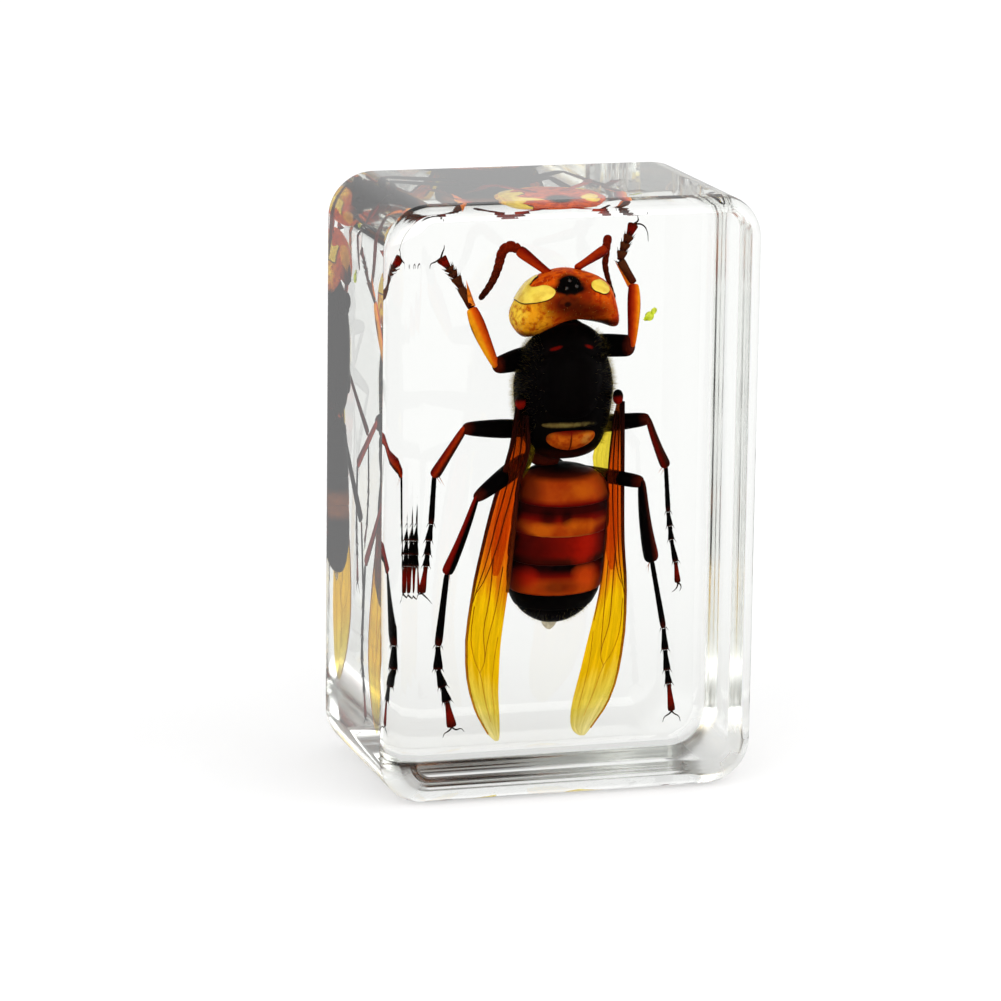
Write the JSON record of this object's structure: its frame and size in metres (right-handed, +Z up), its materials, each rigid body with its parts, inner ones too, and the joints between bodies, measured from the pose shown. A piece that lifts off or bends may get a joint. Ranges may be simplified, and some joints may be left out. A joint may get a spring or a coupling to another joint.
{
  "type": "insect in resin block",
  "caption": "Upright clear cast resin block with rounded edges and corners that seals one spread wasp-like insect, seen from above through the broad polished front face.",
  "frame": {"origin": "middle of the base, on the surface that the block stands on", "axes": "+Z up along the block's height, the broad front face that shows the insect's back looks along -Y, +X to the right of a viewer in front of it"},
  "size_m": [0.045, 0.0296, 0.07],
  "materials": {
    "clear_resin": "polished clear cast resin, IOR about 1.54"
  },
  "bodies": {
    "root": {"resin_block": "clear_resin"}
  },
  "joints": []
}
